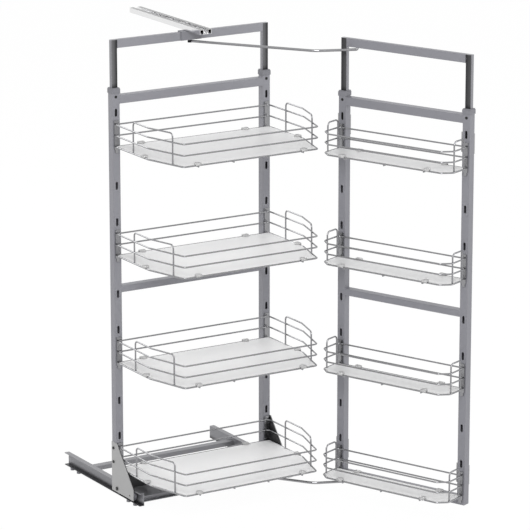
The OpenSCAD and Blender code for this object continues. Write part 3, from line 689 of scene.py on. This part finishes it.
def points_along_lines(tree, given):
    line = tree.nodes.new("GeometryNodeMeshToCurve")
    steps = tree.nodes.new("GeometryNodeResampleCurve")
    steps.mode = "LENGTH"
    places = tree.nodes.new("GeometryNodeCurveToPoints")
    places.mode = "EVALUATED"
    tree.links.new(given["Places"], line.inputs["Mesh"])
    tree.links.new(line.outputs["Curve"], steps.inputs["Curve"])
    tree.links.new(given["Pitch"], steps.inputs["Length"])
    tree.links.new(steps.outputs["Curve"], places.inputs["Curve"])
    return places.outputs["Points"]


def points_of_mesh(tree, given):
    places = tree.nodes.new("GeometryNodeMeshToPoints")
    tree.links.new(given["Places"], places.inputs["Mesh"])
    return places.outputs["Points"]


def size_by_chance(tree, given):
    """A random size for each point, from the size less the chance up to the size itself."""
    chance = tree.nodes.new("FunctionNodeRandomValue")
    chance.data_type = "FLOAT"
    low, high = [i for i in chance.inputs if i.type == "VALUE" and i.name in ("Min", "Max")][:2]
    feed(tree, low, math_node(tree, "SUBTRACT", given["Size"], given["Chance"]))
    feed(tree, high, given["Size"])
    feed(tree, chance.inputs["Seed"], given["Seed"])
    return next(o for o in chance.outputs if o.type == "VALUE" and o.enabled)


def repeat_tree(name, find_points):
    tree = bpy.data.node_groups.new(name, "GeometryNodeTree")
    for label, kind in TREE_INPUTS.items():
        tree.interface.new_socket(label, in_out="INPUT", socket_type="NodeSocket" + kind)
    tree.interface.new_socket("Geometry", in_out="OUTPUT", socket_type="NodeSocketGeometry")
    node, link = tree.nodes.new, tree.links.new
    given = node("NodeGroupInput").outputs
    shape = node("GeometryNodeObjectInfo")
    link(given["Shape"], shape.inputs["Object"])
    turn = node("GeometryNodeInputNamedAttribute")
    turn.data_type = "FLOAT_VECTOR"
    turn.inputs["Name"].default_value = "turn"
    put = node("GeometryNodeInstanceOnPoints")
    link(find_points(tree, given), put.inputs["Points"])
    link(shape.outputs["Geometry"], put.inputs["Instance"])
    link(turn.outputs["Attribute"], put.inputs["Rotation"])
    link(size_by_chance(tree, given), put.inputs["Scale"])
    real = node("GeometryNodeRealizeInstances")
    link(put.outputs["Instances"], real.inputs["Geometry"])
    dress = node("GeometryNodeSetMaterial")
    link(real.outputs["Geometry"], dress.inputs["Geometry"])
    link(given["Finish"], dress.inputs["Material"])
    link(dress.outputs["Geometry"], node("NodeGroupOutput").inputs["Geometry"])
    return tree


on_points = repeat_tree("shape_on_points", points_of_mesh)
along_lines = repeat_tree("shape_along_lines", points_along_lines)
print("two trees are ready")

# %% [markdown]
# A modifier holds the tree while it works. Its result is then copied into a plain mesh and the
# modifier goes, because the export knows only plain meshes.

# %% Run a tree and keep a plain mesh


def socket_id(tree, name):
    return next(item.identifier for item in tree.interface.items_tree
                if item.name == name and item.in_out == "INPUT")


def repeat(name, tree, places, shape, finish, lines=(), turns=(),
           pitch=1.0, size=1.0, chance=0.0, seed=7):
    mesh = bpy.data.meshes.new(name + "_places")
    mesh.from_pydata([tuple(p) for p in places], lines, [])
    if turns:
        attribute = mesh.attributes.new("turn", "FLOAT_VECTOR", "POINT")
        for k, turn in enumerate(turns):
            attribute.data[k].vector = turn
    piece = bpy.data.objects.new(name, mesh)
    scene.collection.objects.link(piece)
    worker = piece.modifiers.new("repeat", "NODES")
    worker.node_group = tree
    for socket, value in (("Shape", shape), ("Pitch", pitch), ("Size", size), ("Chance", chance),
                          ("Seed", seed), ("Finish", finish)):
        worker[socket_id(tree, socket)] = value
    bpy.context.view_layer.update()
    whole = piece.evaluated_get(bpy.context.evaluated_depsgraph_get())
    plain = bpy.data.meshes.new_from_object(whole)
    plain.name = name
    piece.modifiers.clear()
    piece.data = plain
    if not plain.materials:
        plain.materials.append(finish)
    print(name, "has", len(plain.polygons), "faces")
    return piece


def pattern_shape(name, work):
    """A small mesh that a tree repeats. It is removed when all the trees have run."""
    mesh = bpy.data.meshes.new(name)
    bmesh.ops.recalc_face_normals(work, faces=work.faces)
    work.to_mesh(mesh)
    work.free()
    for face in mesh.polygons:
        face.use_smooth = True
    return bpy.data.objects.new(name, mesh)


def round_drop(name, radius):
    work = bmesh.new()
    bmesh.ops.create_icosphere(work, subdivisions=2, radius=radius * MM)
    return pattern_shape(name, work)


# %% [markdown]
# ## Weld beads on the baskets
# Where two wires cross, the welding machine presses them together and a little melted steel
# squeezes out. It shows as a small bead in the corner between the wires. The crossings follow from
# the basket's sizes: the rear end of each cross wire, the guard legs inside the rings, and the
# hook strips behind them.

# %% Find the crossings and weld them
INNER_BASKET = {
    "rise": 10.0, "gap": 34.0, "depth": 346.0, "half_rear": 269.5, "taper": 38.5, "bend": 205.0,
    "legs": (109.0, 298.0), "cross": (-180.0, -60.0, 60.0, 180.0), "strip": 262.5,
    "clips_front": 182.0, "clips_side": (177.0,)}
DOOR_BASKET = {
    "rise": 14.0, "gap": 32.0, "depth": 103.0, "half_rear": 228.0, "taper": 28.0, "bend": 78.0,
    "legs": (17.0, 69.0), "cross": (-140.0, 0.0, 140.0), "strip": 220.0,
    "clips_front": 150.0, "clips_side": ()}
RINGS = 3
REAR_WIRE = 5.2
HALF_STEP = 2.1
STRIP_FACE = 3.0
BEAD_RADIUS = 2.7


def side_at(basket, y):
    beyond = max(0.0, y - basket["bend"])
    return basket["half_rear"] - basket["taper"] * beyond / (basket["depth"] - basket["bend"])


def crossings(basket):
    places = []
    for x in basket["cross"]:
        places.append((x, -REAR_WIRE, basket["rise"] - HALF_STEP))
    for side in (-1, 1):
        for ring in range(RINGS):
            z = basket["rise"] + ring * basket["gap"]
            places.append((side * basket["strip"], -STRIP_FACE, z))
            for leg in basket["legs"]:
                places.append((side * (side_at(basket, leg) - HALF_STEP), -leg, z))
    return places


weld_bead = round_drop("weld_bead", BEAD_RADIUS)
for name, basket, to_world, body, drop in (
    ("inner_weld_beads", INNER_BASKET, in_inner, "inner_frame", 0.0),
    ("door_weld_beads", DOOR_BASKET, in_door, "door_frame", DOOR_DROP),
):
    places = [to_world(x, y, z + height - drop)
              for height in BASKET_HEIGHTS for x, y, z in crossings(basket)]
    beads = repeat(name, on_points, places, weld_bead, bright_wire, chance=0.12)
    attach(beads, body)

# %% [markdown]
# ## Weld seams on the bars
# Each crossbar is welded to its uprights. A seam is a row of small overlapping drops along the
# corner, painted over. The tree lays them along short lines at a fixed pitch, on the upper and
# lower edges of a bar. The lowest bars have a seam on top only.

# %% Lay the seams
DROP_RADIUS = 1.5
DROP_PITCH = 1.5
SEAM_INSET = 1.5
INNER_BAR_EDGES = (1254.0, 1229.0, 666.5, 646.5, 76.5)
DOOR_BAR_EDGES = (1245.0, 1220.0, 653.0, 633.0, 74.5)

# For each row of seams: its body, half its width, its front and back, its heights and its paint.
SEAMS = {
    "inner_bar_seams": (in_inner, "inner_frame", (INNER_SPACING - TUBE) / 2, (0.0, TUBE),
                        INNER_BAR_EDGES, silver_paint),
    "door_bar_seams": (in_door, "door_frame", (DOOR_SPACING - TUBE) / 2, (0.0, TUBE),
                       DOOR_BAR_EDGES, door_paint_with_painted_shade),
    "inner_head_seams": (in_inner, "inner_head", INNER_SPACING / 2 - POST_HALF_WIDTH,
                         (POST_FRONT, POST_BACK), (POST_TOPS["inner"] - TUBE,), silver_paint),
    "door_head_seams": (in_door, "door_head", DOOR_SPACING / 2 - POST_HALF_WIDTH,
                        (POST_FRONT, POST_BACK), (POST_TOPS["door"] - TUBE,),
                        door_paint_with_painted_shade),
}
seam_drop = round_drop("seam_drop", DROP_RADIUS)
for name, (to_world, body, half, depths, heights, finish) in SEAMS.items():
    ends, lines = [], []
    for side in (-1, 1):
        for height in heights:
            lines.append((len(ends), len(ends) + 1))
            for depth in (depths[0] + SEAM_INSET, depths[1] - SEAM_INSET):
                ends.append(to_world(side * half, depth, height))
    seams = repeat(name, along_lines, ends, seam_drop, finish, lines,
                   pitch=DROP_PITCH * MM, chance=0.15)
    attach(seams, body)

# %% [markdown]
# ## Clamp screws
# Under each collar a black socket screw presses on the telescopic post and holds the head's
# height. Its round head stands a little proud of the tube. One head is made as rings of points,
# from the rim over a rounded edge to the six-sided socket, and the tree puts it in four places.

# %% Make one screw head and place it
HEAD_RADIUS = 4.3
HEAD_HEIGHT = 1.2
HEAD_SINK = 0.1
HEAD_WALL_SHARE = 0.7
HEAD_ROUNDING = 0.5
SOCKET_RADIUS = 1.7
SOCKET_DEPTH = 0.9
HEAD_STEPS = 24
CLAMP_DROP = 10.5


def six_sided(radius, angle):
    """The reach of a hexagon at an angle, from the distance of its flat sides."""
    return radius / math.cos((angle + math.pi / 6) % (math.pi / 3) - math.pi / 6)


def round_edge(radius, angle):
    return radius


def build_screw_head():
    """The head's axis is the shape's own Y, and its face looks towards -Y."""
    work = bmesh.new()
    profile = [(HEAD_RADIUS, HEAD_SINK, round_edge),
               (HEAD_RADIUS, -HEAD_WALL_SHARE * HEAD_HEIGHT, round_edge),
               (HEAD_RADIUS - HEAD_ROUNDING, -HEAD_HEIGHT, round_edge),
               (SOCKET_RADIUS, -HEAD_HEIGHT, six_sided),
               (SOCKET_RADIUS, SOCKET_DEPTH - HEAD_HEIGHT, six_sided)]
    rings = []
    for radius, y, outline in profile:
        ring = []
        for k in range(HEAD_STEPS):
            angle = 2 * math.pi * k / HEAD_STEPS
            reach = outline(radius, angle)
            ring.append(work.verts.new((reach * math.cos(angle) * MM, y * MM,
                                        reach * math.sin(angle) * MM)))
        rings.append(ring)
    join_rings(work, rings)
    return pattern_shape("screw_head", work)


screw_head = build_screw_head()
for name, to_world, body, half, top, heading in (
    ("inner_clamp_screws", in_inner, "inner_frame", INNER_SPACING / 2, INNER_TOP, 0.0),
    ("door_clamp_screws", in_door, "door_frame", DOOR_SPACING / 2, DOOR_TOP, DOOR_HEADING),
):
    places = [to_world(side * half, 0.0, top - CLAMP_DROP) for side in (-1, 1)]
    turns = [(0.0, 0.0, heading)] * len(places)
    screws = repeat(name, on_points, places, screw_head, dark_screw, turns=turns)
    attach(screws, body)

# %% [markdown]
# ## Tray clips
# A milky clip snaps over the lowest ring and holds the tray's edge. It has a round nose over the
# tray and a lip outside the wire. One clip is built face by face as a closed shell and bevelled,
# and the tree puts it on each place with its turn. It takes the place of the plain CAD clips.

# %% Build one clip and repeat it
CLIP_HALF_WIDTH = 10.0
CLIP_REACH = 4.0
CLIP_HEIGHT = 5.0
CLIP_OUTER = -4.1
CLIP_LIP_BACK = -2.6
CLIP_LIP_DROP = 3.0
CLIP_SHARP_CORNER = 0.6
NOSE_STEPS = 12


def build_clip():
    work = bmesh.new()

    def point(x, y, z):
        return work.verts.new((x * MM, y * MM, z * MM))

    nose = [(CLIP_HALF_WIDTH * math.cos(math.pi * k / NOSE_STEPS),
             CLIP_REACH + CLIP_HALF_WIDTH * math.sin(math.pi * k / NOSE_STEPS))
            for k in range(NOSE_STEPS + 1)]
    top = [point(x, y, CLIP_HEIGHT) for x, y in nose]
    low = [point(x, y, 0) for x, y in nose]
    corner = {}
    for side in (-1, 1):
        x = side * CLIP_HALF_WIDTH
        corner[side] = [point(x, CLIP_OUTER, CLIP_HEIGHT), point(x, CLIP_OUTER, -CLIP_LIP_DROP),
                        point(x, CLIP_LIP_BACK, -CLIP_LIP_DROP), point(x, CLIP_LIP_BACK, 0)]
    right, left = corner[1], corner[-1]
    work.faces.new(top + [left[0], right[0]])
    work.faces.new(low + [left[3], right[3]])
    for k in range(NOSE_STEPS):
        work.faces.new((low[k], low[k + 1], top[k + 1], top[k]))
    for k in range(3):
        work.faces.new((right[k], left[k], left[k + 1], right[k + 1]))
    work.faces.new((top[0], low[0], right[3], right[2], right[1], right[0]))
    work.faces.new((top[-1], low[-1], left[3], left[2], left[1], left[0]))
    bmesh.ops.recalc_face_normals(work, faces=work.faces)
    bevel(work, [e for e in work.edges if e.calc_face_angle(0.0) > CLIP_SHARP_CORNER])
    return pattern_shape("clip_shape", work)


def clip_places(basket):
    """Each place with its turn about the upright line: the tray is towards the clip's +Y."""
    z = basket["rise"] + WIRE_R
    places = []
    for x in (-basket["clips_front"], basket["clips_front"]):
        places.append(((x, -basket["depth"], z), 0.0))
        places.append(((x, -REAR_WIRE, z), math.pi))
    for y in basket["clips_side"]:
        places.append(((-basket["half_rear"], -y, z), -math.pi / 2))
        places.append(((basket["half_rear"], -y, z), math.pi / 2))
    return places


tray_clip = build_clip()
for name, basket, to_world, body, node, drop, heading in (
    ("inner_tray_clips", INNER_BASKET, in_inner, "inner_frame", "basket_clips", 0.0, 0.0),
    ("door_tray_clips", DOOR_BASKET, in_door, "door_frame", "door_clips", DOOR_DROP,
     DOOR_HEADING),
):
    places, turns = [], []
    for height in BASKET_HEIGHTS:
        for (x, y, z), turn in clip_places(basket):
            places.append(to_world(x, y, z + height - drop))
            turns.append((0.0, 0.0, turn + heading))
    clips = repeat(name, on_points, places, tray_clip, clear_clip, turns=turns)
    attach(clips, body)
    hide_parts(node)

for shape in (weld_bead, seam_drop, screw_head, tray_clip):
    bpy.data.objects.remove(shape)
print("the small shapes are put away")
